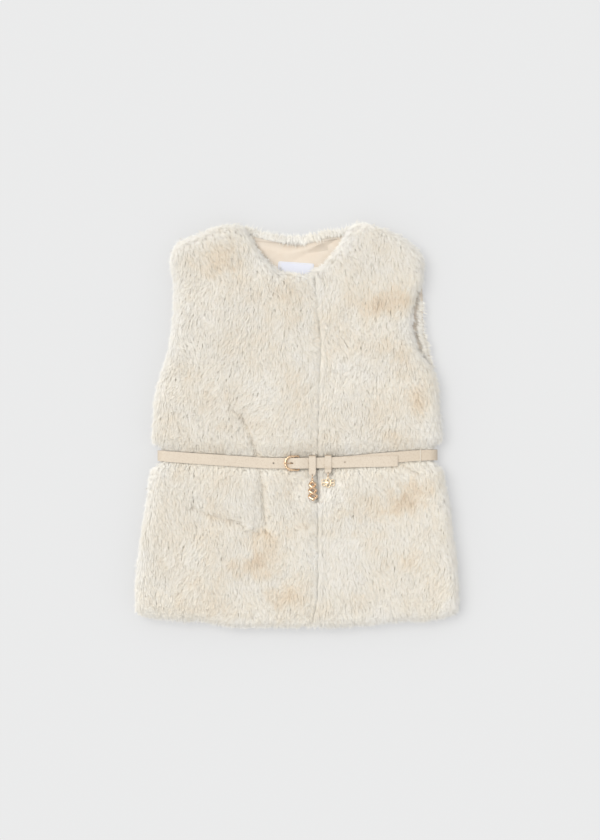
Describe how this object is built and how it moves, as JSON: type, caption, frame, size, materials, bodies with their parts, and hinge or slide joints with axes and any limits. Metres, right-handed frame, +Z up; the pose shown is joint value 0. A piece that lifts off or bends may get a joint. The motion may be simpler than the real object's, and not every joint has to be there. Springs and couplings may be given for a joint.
{
  "type": "faux fur vest laid flat with a narrow belt",
  "caption": "Sleeveless open-front faux fur vest laid flat, lapped at the front and cinched by a narrow buckled belt with two hanging charms.",
  "frame": {"origin": "under the middle of the laid vest, on the surface that it lies on", "axes": "+X across the vest towards the wearer's left, +Y from hem to neck, +Z up from the surface"},
  "size_m": [0.3694, 0.4592, 0.0285],
  "materials": {
    "fur": "soft, long-pile faux fur",
    "lining": "smooth satin",
    "label": "plain weave",
    "strap": "smooth, lightly polished",
    "rose_gold": "polished plating",
    "pale_gold": "polished plating",
    "thread": "thread chain"
  },
  "bodies": {
    "vest": {"front_right": "fur", "front_left": "fur", "back": "fur", "back_lining": "lining", "neck_label": "label", "belt_strap": "strap", "charm_tab_knot": "strap", "charm_tab_flower": "strap", "belt_buckle": "rose_gold", "belt_prong": "rose_gold", "belt_loop": "thread"},
    "ring_knot": {"ring_knot": "rose_gold"},
    "charm_knot": {"charm_knot": "rose_gold"},
    "ring_flower": {"ring_flower": "rose_gold"},
    "charm_flower": {"charm_flower": "pale_gold"}
  },
  "joints": [
    {"name": "knot_ring_lift", "type": "hinge", "parent": "vest", "child": "ring_knot", "pos_m": [0.0166, -0.05719, 0.0256], "axis": [-1, 0, 0], "range_deg": [0, 110]},
    {"name": "knot_charm_swing", "type": "hinge", "parent": "ring_knot", "child": "charm_knot", "pos_m": [0.0166, -0.05949, 0.0256], "axis": [0, 0, 1], "range_deg": [-40, 8]},
    {"name": "flower_ring_lift", "type": "hinge", "parent": "vest", "child": "ring_flower", "pos_m": [0.0342, -0.05479, 0.0252], "axis": [-1, 0, 0], "range_deg": [0, 110]},
    {"name": "flower_charm_swing", "type": "hinge", "parent": "ring_flower", "child": "charm_flower", "pos_m": [0.0342, -0.05709, 0.0252], "axis": [0, 0, 1], "range_deg": [-8, 40]}
  ]
}
